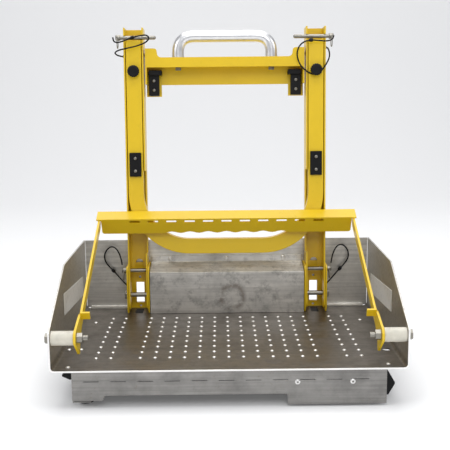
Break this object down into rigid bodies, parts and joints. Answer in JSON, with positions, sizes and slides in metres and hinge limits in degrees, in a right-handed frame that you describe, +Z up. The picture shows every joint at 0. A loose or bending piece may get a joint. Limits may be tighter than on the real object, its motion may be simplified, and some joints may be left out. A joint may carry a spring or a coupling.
{
  "type": "folding load platform",
  "caption": "Sheet-metal tray on a low base with a hinged yellow mast, grab handle, tethered lock pins and a swinging serrated tread bar.",
  "frame": {"origin": "bottom centre of the whole part's box at rest, on the ground under the tray", "axes": "+Z up, -Y towards the open front of the tray, +X to the right as seen from the front"},
  "size_m": [0.6216, 0.4352, 0.6575],
  "materials": {
    "steel_sheet": "brushed steel sheet, handled and smudged",
    "yellow_paint": "semi-gloss yellow powder coat",
    "zinc_steel": "zinc plated hardware",
    "bare_aluminium": "satin aluminium tube",
    "black_rubber": "matt black rubber",
    "black_plastic": "black moulded plastic",
    "white_nylon": "off-white turned nylon"
  },
  "bodies": {
    "platform": {"deck_tray": "steel_sheet", "back_wall": "steel_sheet", "step_cover": "steel_sheet", "front_apron": "steel_sheet", "rear_apron": "steel_sheet", "cross_member_front": "steel_sheet", "cross_member_rear": "steel_sheet", "side_rail_right": "steel_sheet", "side_rail_left": "steel_sheet", "bent_frame": "yellow_paint", "cross_beam": "yellow_paint", "bracket_right": "yellow_paint", "bracket_left": "yellow_paint", "mast_channel_right": "yellow_paint", "mast_channel_left": "yellow_paint", "mast_bolt_right": "zinc_steel", "mast_bolt_left": "zinc_steel", "handle_screw_right": "zinc_steel", "handle_screw_left": "zinc_steel", "ear_bolt_right": "zinc_steel", "ear_bolt_left": "zinc_steel", "ear_nut_right": "zinc_steel", "ear_nut_left": "zinc_steel", "tread_bolt_right": "zinc_steel", "tread_bolt_left": "zinc_steel", "tread_nut_right": "zinc_steel", "tread_nut_left": "zinc_steel", "grab_handle": "bare_aluminium", "bumper_right": "black_rubber", "bumper_left": "black_rubber", "foot_front_right": "black_rubber", "foot_front_left": "black_rubber", "foot_rear_right": "black_rubber", "foot_rear_left": "black_rubber", "rest_pad_right": "black_rubber", "rest_pad_left": "black_rubber", "corner_block_right": "black_plastic", "corner_block_left": "black_plastic", "frame_knob_right": "black_plastic", "frame_knob_left": "black_plastic", "lanyard_lower_right": "black_plastic", "lanyard_lower_left": "black_plastic", "lanyard_top_left": "black_plastic", "lanyard_top_right": "black_plastic", "pivot_spacer_right": "white_nylon", "pivot_spacer_left": "white_nylon"},
    "tread": {"tread_arm_right": "yellow_paint", "tread_arm_left": "yellow_paint", "tread_bar": "yellow_paint"},
    "lock_pin_r": {"lock_pin_right": "zinc_steel", "pin_ring_right": "zinc_steel"},
    "lock_pin_l": {"lock_pin_left": "zinc_steel", "pin_ring_left": "zinc_steel"},
    "top_pin_r": {"top_pin_right": "zinc_steel", "top_ring_right": "zinc_steel"},
    "top_pin_l": {"top_pin_left": "zinc_steel", "top_ring_left": "zinc_steel"}
  },
  "joints": [
    {"name": "tread_swing", "type": "hinge", "parent": "platform", "child": "tread", "pos_m": [0, -0.20157, 0.123], "axis": [1, 0, 0], "range_deg": [0, 165]},
    {"name": "lock_pin_right_pull", "type": "slide", "parent": "platform", "child": "lock_pin_r", "axis": [1, 0, 0], "range_m": [0, 0.05]},
    {"name": "lock_pin_left_pull", "type": "slide", "parent": "platform", "child": "lock_pin_l", "axis": [-1, 0, 0], "range_m": [0, 0.05]},
    {"name": "top_pin_right_pull", "type": "slide", "parent": "platform", "child": "top_pin_r", "axis": [1, 0, 0], "range_m": [0, 0.045]},
    {"name": "top_pin_left_pull", "type": "slide", "parent": "platform", "child": "top_pin_l", "axis": [-1, 0, 0], "range_m": [0, 0.045]}
  ]
}
